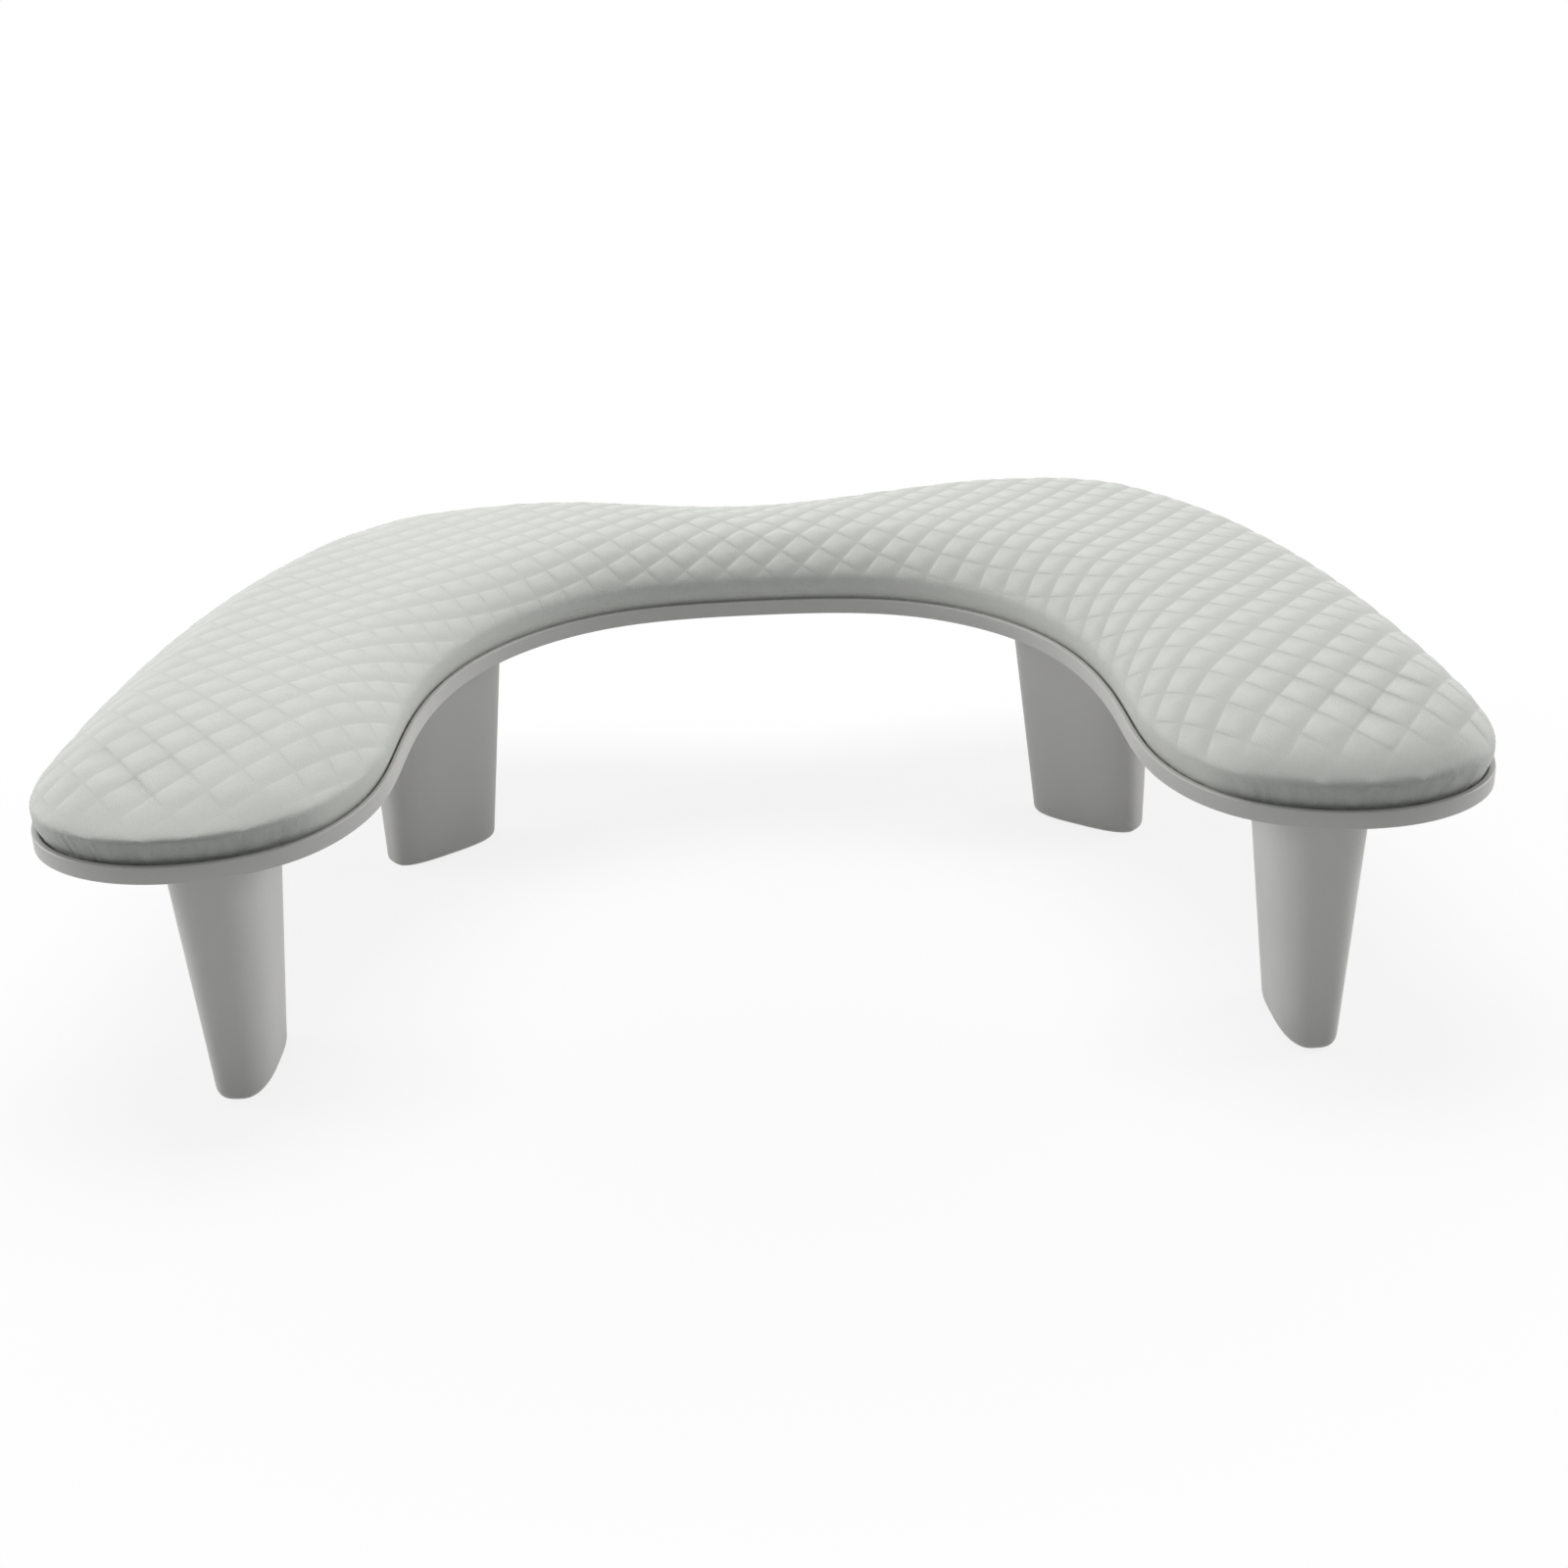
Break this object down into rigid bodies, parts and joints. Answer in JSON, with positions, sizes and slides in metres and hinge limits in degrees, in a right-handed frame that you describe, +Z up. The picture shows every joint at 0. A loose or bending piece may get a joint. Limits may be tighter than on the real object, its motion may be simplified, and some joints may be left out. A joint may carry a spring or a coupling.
{
  "type": "manicure hand rest",
  "caption": "Horseshoe-shaped hand rest for nail care: a crowned, diamond-embossed cushion in a thin moulded tray on tapered oval legs.",
  "frame": {"origin": "centre of the footprint, on the surface the rest stands on", "axes": "+X runs along the rest's length from arm to arm, +Y from the arm tips to the back, +Z up"},
  "size_m": [0.4396, 0.3043, 0.1074],
  "materials": {
    "cover": "embossed woven-look cover, soft sheen",
    "foam": "open-cell foam",
    "board": "raw pressed board",
    "shell": "satin moulded plastic",
    "foot_pad": "matt anti-slip rubber",
    "screw": "bright zinc"
  },
  "bodies": {
    "root": {"cover": "cover", "foam": "foam", "board": "board", "tray": "shell", "leg_front_right": "shell", "leg_front_left": "shell", "leg_rear_right": "shell", "leg_rear_left": "shell", "foot_pad_front_right": "foot_pad", "foot_pad_front_left": "foot_pad", "foot_pad_rear_right": "foot_pad", "foot_pad_rear_left": "foot_pad", "leg_screw_front_right": "screw", "leg_screw_front_left": "screw", "leg_screw_rear_right": "screw", "leg_screw_rear_left": "screw", "board_screw_1": "screw", "board_screw_2": "screw", "board_screw_3": "screw", "board_screw_4": "screw", "board_screw_5": "screw", "board_screw_6": "screw"}
  },
  "joints": []
}
